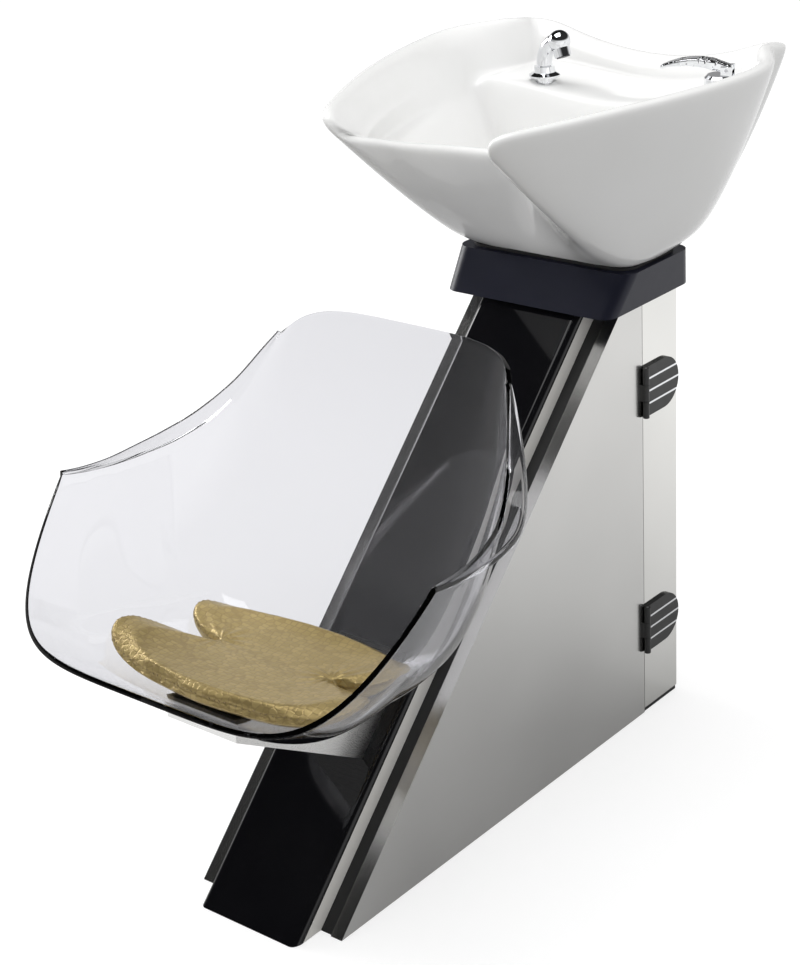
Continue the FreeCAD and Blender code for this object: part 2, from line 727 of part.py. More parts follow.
def hinge_leaf(z):
    """Leaf of one hinge at a height, with the strips let into its grooves."""
    axis_x, axis_y = HALF + size("hinge_gap"), size("seam_y")
    tall, long, thick = size("leaf_height") / 2, size("leaf_length"), size("leaf_thick")
    third = tall / 3
    r = size("barrel_r")
    start, bend = axis_y + 1, axis_y + long - tall
    plate = Part.makeBox(thick, bend - start, 2 * tall, V(HALF, start, z - tall))
    plate = plate.fuse(Part.makeCylinder(tall, thick, V(HALF, bend, z), V(1, 0, 0)))
    grooves = [Part.makeBox(2, long, 3, V(HALF + thick - 1, axis_y + 7, z + step * tall / 2 - 1.5))
               for step in (-1, 0, 1)]
    barrels = [Part.makeCylinder(r, tall - third, V(axis_x, axis_y, level))
               for level in (z + third, z - tall)]
    gap = Part.makeCylinder(r + 0.6, 2 * third + 0.6, V(axis_x, axis_y, z - third - 0.3))
    strips = [plate.common(groove) for groove in grooves]
    return plate.fuse(barrels).cut([gap, hinge_bore(z)] + grooves), strips


def hinge_bore(z):
    """Running hole for one hinge's pin."""
    tall = size("leaf_height")
    return Part.makeCylinder(2 + size("running_clear"), 1.5 * tall,
                             V(HALF + size("hinge_gap"), size("seam_y"), z - 0.75 * tall))


def hinge_knuckle(z):
    """Middle knuckle of one hinge with the web that joins it to the panel."""
    axis_x, axis_y = HALF + size("hinge_gap"), size("seam_y")
    third = size("leaf_height") / 6
    tall = 2 * third - 0.6
    low = z - third + 0.3
    barrel = Part.makeCylinder(size("barrel_r"), tall, V(axis_x, axis_y, low))
    web = Part.makeBox(axis_x - HALF, 4, tall, V(HALF, axis_y - 5, low))
    return barrel.fuse(web).cut(hinge_bore(z))


def make_hinges():
    heights = ("hinge_low_z", "hinge_high_z")
    leaves = [hinge_leaf(size(height)) for height in heights]
    piece("hinge_leaves", Part.makeCompound([leaf for leaf, strips in leaves]))
    piece("leaf_strips", Part.makeCompound([strip for leaf, strips in leaves for strip in strips]))
    piece("hinge_knuckles", Part.makeCompound([hinge_knuckle(size(height)) for height in heights]))
    pins = [rod("hinge_pin", "2", "Sizes.leaf_height", "Sizes.body_width / 2 + Sizes.hinge_gap",
                "Sizes.seam_y", "Sizes.%s - Sizes.leaf_height / 2" % height) for height in heights]
    keep(join("hinge_pins", pins))


make_floor_plate()
make_frame()
make_side_panels()
make_front_sheet()
make_front_channel()
make_front_cover()
make_top_plate()
make_seat_arm()
make_seat()
make_bowl()
make_collar()
make_drain()
make_mixer()
make_shower()
make_door()
make_hinges()

doc.recompute()
for obj in doc.Objects:
    if "Invalid" in obj.State or "Error" in obj.State:
        raise RuntimeError("%s did not build: %s" % (obj.Label, obj.State))
os.makedirs("parts", exist_ok=True)
for obj in nodes:
    if obj.Shape.isNull() or not obj.Shape.isValid():
        raise RuntimeError("%s has no sound shape" % obj.Label)
    obj.Shape.exportStep("parts/%s.step" % obj.Label)
    print(obj.Label, len(obj.Shape.Solids), round(obj.Shape.Volume / 1000, 1), "cm3")
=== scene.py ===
# %% [markdown]
# # A salon backwash unit
# The unit is a steel wedge that carries two things: a clear bucket seat on an arm, and a
# white glazed basin on a dark collar. The rigid solids arrive already made and placed, so
# this lesson gives them their finishes, models the clear seat, the glaze and the soft
# cushion as real surfaces, and sets up a plain bright studio.

# %% Load the solids
import json
import math
import bpy
from mathutils import Euler, Matrix, Vector
from mathutils.bvhtree import BVHTree

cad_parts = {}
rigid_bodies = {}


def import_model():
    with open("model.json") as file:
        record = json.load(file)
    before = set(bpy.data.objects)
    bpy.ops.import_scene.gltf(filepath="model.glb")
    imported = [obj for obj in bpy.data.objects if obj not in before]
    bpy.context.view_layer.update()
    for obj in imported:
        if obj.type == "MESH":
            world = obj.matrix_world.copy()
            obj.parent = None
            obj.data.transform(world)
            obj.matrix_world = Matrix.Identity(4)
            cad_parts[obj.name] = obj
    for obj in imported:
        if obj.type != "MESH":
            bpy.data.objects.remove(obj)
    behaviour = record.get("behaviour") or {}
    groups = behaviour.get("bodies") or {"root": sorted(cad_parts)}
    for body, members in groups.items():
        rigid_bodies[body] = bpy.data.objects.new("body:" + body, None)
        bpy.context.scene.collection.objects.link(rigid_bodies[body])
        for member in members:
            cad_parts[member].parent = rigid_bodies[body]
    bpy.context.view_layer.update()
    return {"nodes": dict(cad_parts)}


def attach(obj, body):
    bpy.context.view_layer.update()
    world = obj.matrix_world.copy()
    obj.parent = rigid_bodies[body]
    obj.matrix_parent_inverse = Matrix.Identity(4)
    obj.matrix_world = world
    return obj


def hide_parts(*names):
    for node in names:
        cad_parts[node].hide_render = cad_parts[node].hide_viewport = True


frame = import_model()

nodes = frame["nodes"]
scene = bpy.context.scene
print("solids:", len(nodes))

# %% [markdown]
# ## Small helpers
# Every operator works on what is selected, so one helper clears the selection and picks a
# single object. Another makes a node material with its main shader, because every finish
# below starts in the same way and then gets its own pattern.

# %% Helpers for picking objects and starting materials
def pick(obj):
    """Select one object alone and make it active."""
    for other in bpy.context.view_layer.objects:
        other.select_set(False)
    obj.select_set(True)
    bpy.context.view_layer.objects.active = obj


def apply_all(obj):
    """Apply every modifier of an object in order."""
    pick(obj)
    for modifier in list(obj.modifiers):
        bpy.ops.object.modifier_apply(modifier=modifier.name)


class Finish:
    """A material under construction: its tree, its shader and short ways to add nodes."""

    def __init__(self, name):
        self.material = bpy.data.materials.new(name)
        self.material.use_nodes = True
        self.tree = self.material.node_tree
        self.shader = self.tree.nodes["Principled BSDF"]
        self.coords = self.tree.nodes.new("ShaderNodeTexCoord").outputs["Object"]

    def set(self, **values):
        """Set sockets of the shader that are the same all over the surface."""
        for socket, value in values.items():
            self.shader.inputs[socket.replace("_", " ")].default_value = value
        return self

    def node(self, kind, links=(), **settings):
        """Add a node, feed its sockets and set its values."""
        made = self.tree.nodes.new(kind)
        for key, value in settings.items():
            if key in made.inputs:
                made.inputs[key].default_value = value
            else:
                setattr(made, key, value)
        for socket, source in links:
            self.tree.links.new(source, made.inputs[socket])
        return made

    def link(self, source, socket):
        """Feed one socket of the shader."""
        self.tree.links.new(source, self.shader.inputs[socket])

    def scaled(self, scale):
        """Object coordinates stretched by a scale in each direction."""
        made = self.node("ShaderNodeMapping", [("Vector", self.coords)])
        made.inputs["Scale"].default_value = scale
        return made.outputs["Vector"]

    def noise(self, scale, detail=3, stretch=(1, 1, 1)):
        """Soft random pattern, stretched where a grain runs."""
        made = self.node("ShaderNodeTexNoise", [("Vector", self.scaled(stretch))],
                         Scale=scale, Detail=detail)
        return made.outputs["Fac"]

    def ramp(self, source, low, high, start=0.3, end=0.7):
        """Colour that goes from low to high as the source rises."""
        made = self.node("ShaderNodeValToRGB", [("Fac", source)])
        first, last = made.color_ramp.elements
        first.position, last.position = start, end
        first.color, last.color = (*low, 1), (*high, 1)
        return made.outputs["Color"]

    def spread(self, source, low, high):
        """Number that goes from low to high as the source rises."""
        made = self.node("ShaderNodeMapRange", [("Value", source)])
        made.inputs["To Min"].default_value = low
        made.inputs["To Max"].default_value = high
        return made.outputs["Result"]

    def bump(self, height, strength, distance):
        """Relief from a height pattern."""
        made = self.node("ShaderNodeBump", [("Height", height)], Strength=strength, Distance=distance)
        self.link(made.outputs["Normal"], "Normal")


def dress(finish, *names):
    """Give a finish to solids by name."""
    for name in names:
        materials = nodes[name].data.materials
        materials.clear()
        materials.append(finish.material)
    print(finish.material.name, "on", ", ".join(names))


# %% [markdown]
# ## Brushed and polished steel
# The pedestal's sides and the seat arm are brushed stainless sheet. Brushing leaves fine
# straight scratches, which can be drawn with noise that is stretched a hundred times along
# one direction. The stretched noise drives both the roughness and a very small bump, so the
# reflection smears along the grain. The raised front's sides are a paler satin, and the
# door is polished, so it gets the same grain with far less of it.

# %% Steel finishes
def steel(name, tint, rough, grain, stretch):
    """Metal with a straight grain, a tint and a low and high roughness."""
    finish = Finish(name)
    finish.set(Metallic=1.0)
    lines = finish.noise(90, 4, stretch)
    cloud = finish.noise(3, 2)
    dark = tuple(0.9 * value for value in tint)
    finish.link(finish.ramp(cloud, dark, tint), "Base Color")
    finish.link(finish.spread(lines, *rough), "Roughness")
    finish.bump(lines, grain, 0.0004)
    return finish


side_steel = steel("brushed_side_steel", (0.7, 0.695, 0.68), (0.16, 0.26), 0.1, (8, 8, 0.12))
dress(side_steel, "left_side_panel", "right_side_panel")
channel_steel = steel("satin_channel_steel", (0.80, 0.785, 0.75), (0.5, 0.65), 0.1, (8, 0.2, 0.2))
channel_steel.set(Metallic=0.15)
dress(channel_steel, "front_channel")
arm_steel = steel("brushed_arm_steel", (0.95, 0.945, 0.93), (0.22, 0.34), 0.08, (0.2, 8, 8))
dress(arm_steel, "seat_arm")
door_steel = steel("polished_door_steel", (0.84, 0.835, 0.81), (0.05, 0.12), 0.02, (6, 6, 0.1))
dress(door_steel, "rear_door")
zinc = steel("zinc_plating", (0.6, 0.6, 0.63), (0.25, 0.45), 0.05, (1, 1, 1))
dress(zinc, "arm_bolts", "seat_screws", "hinge_pins", "lever_pin")

# %% [markdown]
# ## Chrome
# The mixer, the hand shower, the drain and the strips on the hinges are bright chrome.
# Plating is a mirror with only the faintest haze, so its roughness wanders between almost
# nothing and a little.

# %% Chrome finish
chrome = Finish("bright_chrome")
chrome.set(Metallic=1.0, Base_Color=(0.82, 0.83, 0.85, 1))
chrome.link(chrome.spread(chrome.noise(40, 3), 0.02, 0.07), "Roughness")
dress(chrome, "mixer_base", "mixer_cap", "mixer_lever", "shower_holder", "hand_shower",
      "drain_tail", "hair_strainer", "leaf_strips")

# %% [markdown]
# The lever is the one fitting whose form matters for its shine: it is cast with a full,
# rounded back, so that its upper side mirrors the dark above it. Its solid has square
# sides, so a copy is remeshed finely, relaxed until it is round and drawn out again by what
# the relaxing took away.

# %% Rounded lever
def copy_solid(name, node):
    """Copy a solid's mesh into a new object with its loose corners merged."""
    made = bpy.data.objects.new(name, nodes[node].data.copy())
    scene.collection.objects.link(made)
    pick(made)
    bpy.ops.object.mode_set(mode="EDIT")
    bpy.ops.mesh.select_all(action="SELECT")
    bpy.ops.mesh.remove_doubles(threshold=0.00002)
    bpy.ops.mesh.normals_make_consistent(inside=False)
    bpy.ops.object.mode_set(mode="OBJECT")
    return made


def remesh_and_relax(obj, voxel, rounds):
    """Turn a mesh into small even quads and smooth it by a number of rounds."""
    obj.data.remesh_voxel_size = voxel
    pick(obj)
    bpy.ops.object.voxel_remesh()
    relax = obj.modifiers.new("relax", "SMOOTH")
    relax.factor = 0.5
    relax.iterations = rounds
    apply_all(obj)


def settle(obj, finish, node, body="pedestal"):
    """Give a piece its finish and let it stand for a solid of a body."""
    obj.data.materials.clear()
    obj.data.materials.append(finish.material)
    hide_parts(node)
    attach(obj, body)
    print(obj.name, "faces:", len(obj.data.polygons))


LEVER_VOXEL, LEVER_ROUNDS, LEVER_GROWTH = 0.0011, 30, 0.0012
lever = copy_solid("rounded_lever", "mixer_lever")
remesh_and_relax(lever, LEVER_VOXEL, LEVER_ROUNDS)
for corner in lever.data.vertices:
    corner.co += corner.normal * LEVER_GROWTH
bpy.ops.object.shade_smooth()
settle(lever, chrome, "mixer_lever", "lever")

# %% [markdown]
# ## Blacks
# Several blacks lie beside each other here and have to read as different things: the deep
# gloss of the front cover, the satin navy of the collar, the flat paint inside the recess,
# the moulded plastic of the hinge leaves and the dull rubber under the seat.

# %% Black and grey finishes
def dark_stuff(name, low, high, rough, grain=None):
    """Dark material with a faint cloudiness and an optional fine grain (scale, strength)."""
    finish = Finish(name)
    finish.link(finish.ramp(finish.noise(6, 3), low, high), "Base Color")
    finish.link(finish.spread(finish.noise(60, 3), *rough), "Roughness")
    if grain:
        finish.bump(finish.noise(grain[0], 2), grain[1], 0.0003)
    return finish


cover_black = dark_stuff("gloss_black_cover", (0.003, 0.003, 0.004), (0.006, 0.006, 0.007), (0.03, 0.07))
cover_black.set(Specular_IOR_Level=0.4)
dress(cover_black, "front_cover")
collar_navy = dark_stuff("satin_navy_collar", (0.007, 0.008, 0.018), (0.01, 0.011, 0.024),
                         (0.3, 0.4), (900, 0.05))
collar_navy.set(Specular_IOR_Level=0.3)
dress(collar_navy, "collar")
recess_paint = dark_stuff("satin_black_paint", (0.006, 0.006, 0.007), (0.014, 0.014, 0.015),
                          (0.4, 0.6), (700, 0.15))
dress(recess_paint, "floor_plate", "frame_posts", "frame_rails", "frame_tie", "front_sheet", "top_plate")
moulded_black = dark_stuff("moulded_black_plastic", (0.008, 0.008, 0.008), (0.016, 0.016, 0.016),
                           (0.3, 0.5), (1200, 0.1))
dress(moulded_black, "hinge_leaves", "hinge_knuckles", "spray_face")
rubber = dark_stuff("black_rubber", (0.01, 0.01, 0.01), (0.024, 0.024, 0.024), (0.6, 0.85))
dress(rubber, "seat_pad", "bowl_gasket")
pipe_grey = dark_stuff("grey_pipe_plastic", (0.38, 0.38, 0.38), (0.46, 0.46, 0.46), (0.35, 0.55))
dress(pipe_grey, "waste_trap", "waste_pipe")

# %% [markdown]
# ## The basin's glaze
# Ceramic is cast and dipped in glaze, so every edge rolls over softly. A torus is already
# a ring of closed profiles, so its corners are moved into a cage for the basin: each
# profile climbs the outer wall from the foot, rolls over the lip, falls down the inner
# wall, crosses the rear deck where there is one, runs over the floor into the drain and
# returns under the foot. A subdivision surface turns the cage into one soft skin, and two
# holes for the water fittings are cut at the end.

# %% Outlines of the basin
# Half outlines about the drain from the front middle to the rear middle, in millimetres,
# and how early each point swings out on its way from the foot to the rim. The crown is the
# rim's height from front to rear, the walls are the casting's thickness from foot to rim.
FOOT = [(0, -82), (52, -82), (100, -82), (140, -72), (152, -38), (152, 12), (140, 56), (80, 68), (0, 68)]
RIM = [(0, -206), (60, -264), (108, -374), (146, -426), (256, -172), (296, 52), (242, 164),
       (216, 238), (0, 276)]
SWING = (0.88, 0.86, 0.86, 0.88, 0.8, 0.62, 0.55, 0.5, 0.5)
CROWN = [(-618, -30), (-378, -16), (-218, -8), (12, -2), (162, 5), (262, -10), (382, -30)]
WALLS = [(0, 70), (0.22, 70), (0.36, 44), (0.65, 30), (1.1, 26)]
DRAIN_Y, FOOT_Z, RIM_Z, DECK_Z = 318, 761, 1046, 980
NECK_Y, NECK_RADIUS, NECK_RISE = -108, 170, 61
DIP_Y, DIP_RADIUS, DIP_RISE = 112, 500, 452
FLOOR_SHARE, DECK_EDGE, WALL_LEAN, LIP = 0.22, 70, 16, 15
MIDDLE, SQUARE, REACH = Vector((0, -18)), 0.66, 0.022
LOWEST_LIP, HIGHEST_LIP, HALVINGS = FOOT_Z + 100, RIM_Z + 16, 14


def blend(a, b, c, d, t):
    """Smooth step from b to c that keeps the run of a before it and d after it."""
    bend = 2 * a - 5 * b + 4 * c - d + t * (3 * (b - c) + d - a)
    return b + 0.5 * t * (c - a + t * bend)


def along_table(table, place):
    """Value between the rows of a rising table of pairs."""
    for (low, first), (high, last) in zip(table, table[1:]):
        if place <= high:
            return first + (last - first) * (place - low) / (high - low)
    return table[-1][1]


def outline(share, around):
    """Point of the outer wall about the drain: share 0 at the foot, 1 at the rim."""
    half = [Vector(foot).lerp(Vector(rim), share ** swing) for foot, rim, swing in zip(FOOT, RIM, SWING)]
    ring = half + [Vector((-point.x, point.y)) for point in reversed(half[1:-1])]
    index, t = divmod(around * len(ring), 1)
    return blend(*(ring[(int(index) + step) % len(ring)] for step in (-1, 0, 1, 2)), t)


def top_height(point):
    """Height of the rim over a point: the crown line, the neck rest or the rear dip."""
    height = RIM_Z + along_table(CROWN, point.y)
    if point.y < NECK_Y and abs(point.x) < NECK_RADIUS:
        height = min(height, RIM_Z + NECK_RISE - math.sqrt(NECK_RADIUS ** 2 - point.x ** 2))
    if point.y > DIP_Y:
        height = min(height, RIM_Z + DIP_RISE - math.sqrt(DIP_RADIUS ** 2 - point.x ** 2))
    return height


def share_at(z):
    """Share of the way from foot to rim at a height."""
    return max(0, (z - FOOT_Z) / (RIM_Z - FOOT_Z))


def lip_height(around):
    """Height at which the outer wall meets the rim in one direction, found by halving a span."""
    low, high = LOWEST_LIP, HIGHEST_LIP
    for _ in range(HALVINGS):
        z = (low + high) / 2
        if z < top_height(outline(share_at(z), around)):
            low = z
        else:
            high = z
    return low


def inward(share, around):
    """Direction into the basin: mostly square to the wall, a little towards the middle."""
    run = outline(share, around + REACH) - outline(share, around - REACH)
    square = Vector((-run.y, run.x)).normalized()
    middle = (MIDDLE - outline(share, around)).normalized()
    return middle.lerp(square, SQUARE).normalized()


def inner_wall(z, around, rear_limit=1000):
    """Point of the inner wall at a height, no further back than a limit."""
    share = share_at(z)
    point = outline(share, around) + inward(share, around) * along_table(WALLS, share)
    point.y = min(point.y, rear_limit)
    return point


# %% Basin cage
# The rows that cross the deck lie a small gap apart in height, and a wider one where the
# deck is narrower than its full run.
FLOOR_Z = FOOT_Z + FLOOR_SHARE * (RIM_Z - FOOT_Z)
DRAIN = [(40, 0), (37, -1), (36, -5), (30, -5.5), (26, -6), (25.4, -14), (25.4, -45)]
UNDERSIDE = (26, 50)
FOOT_TUCK, FOOT_EDGE, WALL_STEPS = 0.97, 2, 10
LIP_ROLL = ((0.3, 0.3), (1, 0), (1.7, 0.3))
BROW, SHELF_DROP = 1.6, 14
ROW_GAP, WIDER_GAP, FULL_RUN = 1, 8, 40
BROW_STEPS = (0, 0.5, 0.9)
DECK_STEPS = (0.06, 0.35, 0.65, 0.95)
LOW_STEPS = (0.05, 0.2, 0.35, 0.5, 0.65, 0.8, 0.94)
FLOOR_STEPS = (0.1, 0.4, 0.7)


def outer_rows(around, top):
    """Outer wall from the foot to below the lip, then the roll of the lip."""
    foot = outline(0, around)
    rows = [(foot * FOOT_TUCK, FOOT_Z), (foot, FOOT_Z + FOOT_EDGE)]
    for step in range(1, WALL_STEPS + 1):
        z = FOOT_Z + (top - LIP - FOOT_Z) * step / WALL_STEPS
        rows.append((outline(share_at(z), around), z))
    edge = outline(share_at(top), around)
    roll = inward(share_at(top), around) * LIP
    for run, drop in LIP_ROLL:
        rows.append((edge + roll * run, top - LIP * drop))
    return rows


def inner_rows(around, top):
    """Inner wall below the lip, the rear deck where there is one, and the wall below it."""
    brow = top - BROW * LIP
    shelf = min(DECK_Z, brow - SHELF_DROP)
    rows = []
    for step in BROW_STEPS:
        z = brow + (shelf - brow) * step
        rows.append((inner_wall(z, around), z))
    back, front = inner_wall(shelf, around), inner_wall(shelf, around, DECK_EDGE)
    spacing = ROW_GAP + WIDER_GAP * max(0, 1 - (back - front).length / FULL_RUN)
    for step, share in enumerate(DECK_STEPS):
        z = shelf - step * spacing
        rows.append((inner_wall(z, around, back.y + (front.y - back.y) * share), z))
    ledge = z
    for step in LOW_STEPS:
        z = ledge + (FLOOR_Z - ledge) * step
        rows.append((inner_wall(z, around, DECK_EDGE - WALL_LEAN * step), z))
    return rows


def floor_rows(around):
    """Floor into the drain, then the underside back to the foot."""
    floor = inner_wall(FLOOR_Z, around, DECK_EDGE - WALL_LEAN)
    out = floor.normalized()
    rows = [(floor.lerp(out * DRAIN[0][0], share), FLOOR_Z) for share in FLOOR_STEPS]
    rows += [(out * radius, FLOOR_Z + z) for radius, z in DRAIN]
    rows += [(out * radius, FOOT_Z) for radius in UNDERSIDE]
    return rows


def basin_profile(around):
    """Cage points of one direction, in metres."""
    top = lip_height(around)
    rows = outer_rows(around, top) + inner_rows(around, top) + floor_rows(around)
    return [Vector((point.x, DRAIN_Y + point.y, z)) / 1000 for point, z in rows]


# %% [markdown]
# Where the inner wall runs into the narrow wings, neighbouring profiles would cross. Each
# corner of the inner wall is therefore eased: it takes a weighted mean of the same row in
# the profiles beside it, which rounds the hollow of the wing.

# %% Basin skin
AROUND = 96
EASING = (1, 2, 3, 4, 3, 2, 1)
INNER_ROWS = range(15, 29)
profiles = [basin_profile(step / AROUND) for step in range(AROUND)]


def eased(index, row):
    """Place of a cage corner, with the inner wall rounded where it runs into the wings."""
    if row not in INNER_ROWS:
        return profiles[index][row]
    side = len(EASING) // 2
    near = [profiles[(index + step) % AROUND][row] for step in range(-side, side + 1)]
    return sum((place * weight for place, weight in zip(near, EASING)), Vector()) / sum(EASING)


bpy.ops.mesh.primitive_torus_add(major_segments=AROUND, minor_segments=len(profiles[0]))
basin = bpy.context.object
basin.name = "basin_glaze"
places = [eased(index, row) for index in range(AROUND) for row in range(len(profiles[0]))]
for corner, place in zip(basin.data.vertices, places):
    corner.co = place
soft = basin.modifiers.new("soft_skin", "SUBSURF")
soft.levels = soft.render_levels = 2
apply_all(basin)
print("basin cage:", AROUND, "profiles of", len(profiles[0]), "corners")

# %% Holes for the fittings
MIXER_HOLE, SHOWER_HOLE = (0.178, 0.44, 0.0127), (-0.121, 0.419, 0.0137)
for x, y, radius in (MIXER_HOLE, SHOWER_HOLE):
    place = (x, y, DECK_Z / 1000)
    bpy.ops.mesh.primitive_cylinder_add(vertices=48, radius=radius, depth=0.12, location=place)
    drill = bpy.context.object
    hole = basin.modifiers.new("fitting_hole", "BOOLEAN")
    hole.object = drill
    hole.solver = "MANIFOLD"
    apply_all(basin)
    bpy.data.objects.remove(drill)
pick(basin)
bpy.ops.object.shade_smooth()

# %% Glaze finish
glaze = Finish("white_glaze")
glaze.set(Specular_IOR_Level=0.5, Coat_Weight=0.25, Coat_Roughness=0.03)
glaze.link(glaze.ramp(glaze.noise(4, 2), (0.83, 0.83, 0.82), (0.87, 0.87, 0.865)), "Base Color")
glaze.link(glaze.spread(glaze.noise(25, 3), 0.06, 0.12), "Roughness")
glaze.bump(glaze.noise(18, 2), 0.02, 0.002)
settle(basin, glaze, "bowl")

# %% [markdown]
# ## The clear seat
# The seat is one sheet of clear acrylic, heated and pressed over a former. Across the
# seat each section is a shallow U, and nine sections from the front edge over the pan to
# the top of the back describe the whole sheet. A grid is added and every corner is moved
# to its place between those sections. Along the arms the rim is turned outward into a
# narrow ledge. The sheet then gets its thickness, with a second material on the cut edge
# whose dark base colour is painted shade: light that travels inside the sheet leaves there
# and makes polished edges dark, and the painted dark colour stands in for that.

# %% Sections of the seat
# Each section: middle (y, z), rim (x, y, z), how late it sweeps back and lifts on the way
# to the rim, and the width of the ledge, in millimetres.
SECTIONS = [
    ((-640, 419), (329.2, -452, 584), 2.2, 2.4, 0.8),
    ((-557, 366), (322, -413, 577), 2.0, 2.1, 7),
    ((-458, 344), (313, -364, 573), 1.8, 1.8, 15),
    ((-360, 331), (301, -312, 575), 1.7, 1.7, 25),
    ((-295, 336), (285, -262, 583), 1.7, 1.7, 31),
    ((-248, 392), (263, -216, 603), 1.7, 1.7, 30),
    ((-197, 492), (238, -172, 641), 1.7, 1.7, 21),
    ((-137, 622), (215, -139, 690), 1.8, 1.8, 9),
    ((-78, 750), (203, -123, 716), 2.0, 2.0, 1.5),
]
TURN = math.radians(70)
SHEET = 0.007
LEDGE_START = 0.93
FLAT = [(*middle, *rim, *rest) for middle, rim, *rest in SECTIONS]


def between(along):
    """Blend the sections smoothly; along runs from 0 at the front to 1 at the top."""
    place = along * (len(FLAT) - 1)
    index = min(int(place), len(FLAT) - 2)
    t = place - index
    rows = [FLAT[max(0, min(len(FLAT) - 1, index + step))] for step in (-1, 0, 1, 2)]
    return [blend(a, b, c, d, t) for a, b, c, d in zip(*rows)]


def sheet_point(along, across):
    """Place of one corner of the seat's under face, in metres."""
    mid_y, mid_z, rim_x, rim_y, rim_z, sweep, lift, ledge = between(along)
    turn = min(abs(across) / LEDGE_START, 1) * TURN
    out = max(abs(across) - LEDGE_START, 0) / (1 - LEDGE_START)
    rise = (1 - math.cos(turn)) / (1 - math.cos(TURN))
    x = rim_x * math.sin(turn) / math.sin(TURN) + ledge * out
    y = mid_y + (rim_y - mid_y) * rise ** sweep
    z = mid_z + (rim_z - mid_z) * rise ** lift
    return Vector((math.copysign(x, across), y, z)) / 1000


# %% Seat sheet
ALONG, ACROSS = 96, 114
bpy.ops.mesh.primitive_grid_add(x_subdivisions=ACROSS, y_subdivisions=ALONG, size=2)
seat = bpy.context.object
seat.name = "clear_seat"
for corner in seat.data.vertices:
    corner.co = sheet_point((corner.co.y + 1) / 2, corner.co.x)
thick = seat.modifiers.new("thickness", "SOLIDIFY")
thick.thickness = SHEET
thick.offset = 1
thick.use_even_offset = True
thick.material_offset_rim = 1
edge_round = seat.modifiers.new("polished_edge", "BEVEL")
edge_round.width = 0.0018
edge_round.segments = 3
edge_round.limit_method = "ANGLE"
edge_round.angle_limit = math.radians(50)
apply_all(seat)
bpy.ops.object.shade_smooth()

# %% Acrylic finishes
acrylic = Finish("clear_acrylic")
acrylic.set(Base_Color=(0.69, 0.69, 0.715, 1), Transmission_Weight=1.0, IOR=1.49)
acrylic.link(acrylic.spread(acrylic.noise(30, 2), 0.0, 0.02), "Roughness")
# The cut edge is painted nearly black: painted shade for the light that leaves a polished acrylic edge.
edge = Finish("acrylic_edge_painted_shade")
edge.set(Transmission_Weight=0.35, IOR=1.49)
edge.link(edge.ramp(edge.noise(20, 2), (0.015, 0.015, 0.02), (0.04, 0.04, 0.05)), "Base Color")
edge.link(edge.spread(edge.noise(60, 2), 0.04, 0.12), "Roughness")
settle(seat, acrylic, "seat_shell")
seat.data.materials.append(edge.material)

# %% [markdown]
# ## The seat cushion
# The pad is foam under thin gold leather, pressed with a pattern of small reptile scales.
# It has four lobes with a notch at each side, and it lies on the pan and bends with it. A
# ball is flattened into the pad: its turn picks a place on the outline, its level picks how
# far out and how high that corner lies. The height of the pan below comes from a ray cast
# down on the seat. The pad is then remeshed small and inflated by the cloth solver with a
# gentle pressure, so the top crowns between the seams as stuffed leather does. Its under
# side rests on the seat and stays as it is.

# %% Pad shape
PAD_OUTLINE = [(0, -551), (70, -544), (134, -535), (186, -518), (214, -489), (210, -453), (176, -425),
               (106, -401), (154, -387), (185, -364), (188, -333), (150, -304), (78, -288), (0, -285)]
PAD_LEVELS = [(0, 1), (0.15, 1), (0.3, 1), (0.45, 1), (0.6, 1), (0.72, 0.99), (0.82, 0.98), (0.89, 0.95),
              (0.94, 0.9), (0.975, 0.8), (0.993, 0.66), (1, 0.5), (0.993, 0.34), (0.975, 0.2),
              (0.94, 0.09), (0.88, 0), (0.75, 0), (0.6, 0), (0.45, 0), (0.3, 0), (0.15, 0), (0, 0)]
PAD_MIDDLE, PAD_THICK, PAD_GAP = Vector((0, -410)), 26, 0.8
PAD_LIFT, LIFT_Y, LIFT_RUN, LIFT_X = 3, -400, 60, 180
ABOVE, DOWN = 0.9, Vector((0, 0, -1))
pad_ring = [Vector(point) for point in PAD_OUTLINE]
pad_ring += [Vector((-point.x, point.y)) for point in reversed(pad_ring[1:-1])]
pan = BVHTree.FromPolygons([corner.co for corner in seat.data.vertices],
                           [face.vertices for face in seat.data.polygons])


def pad_place(around, level):
    """Place of one corner of the pad in metres."""
    index, t = divmod(around * len(pad_ring), 1)
    edge = blend(*(pad_ring[(int(index) + step) % len(pad_ring)] for step in (-1, 0, 1, 2)), t)
    out, high = PAD_LEVELS[level]
    flat = PAD_MIDDLE.lerp(edge, out)
    hit = pan.ray_cast(Vector((flat.x / 1000, flat.y / 1000, ABOVE)), DOWN)[0]
    front = min(1, max(0, (LIFT_Y - flat.y) / LIFT_RUN))
    lift = PAD_GAP + PAD_LIFT * front * (flat.x / LIFT_X) ** 2 + PAD_THICK * high
    return Vector((flat.x, flat.y, hit.z * 1000 + lift)) / 1000


PAD_TURNS, PAD_VOXEL, PAD_ROUNDS = 168, 0.004, 4
bpy.ops.mesh.primitive_uv_sphere_add(segments=PAD_TURNS, ring_count=len(PAD_LEVELS) - 1, radius=1)
cushion = bpy.context.object
cushion.name = "gold_cushion"
for corner in cushion.data.vertices:
    turned = math.atan2(corner.co.x, -corner.co.y) / (2 * math.pi) % 1
    level = round(math.acos(max(-1, min(1, corner.co.z))) / math.pi * (len(PAD_LEVELS) - 1))
    corner.co = pad_place(turned, level)
remesh_and_relax(cushion, PAD_VOXEL, PAD_ROUNDS)
print("pad corners:", len(cushion.data.vertices))

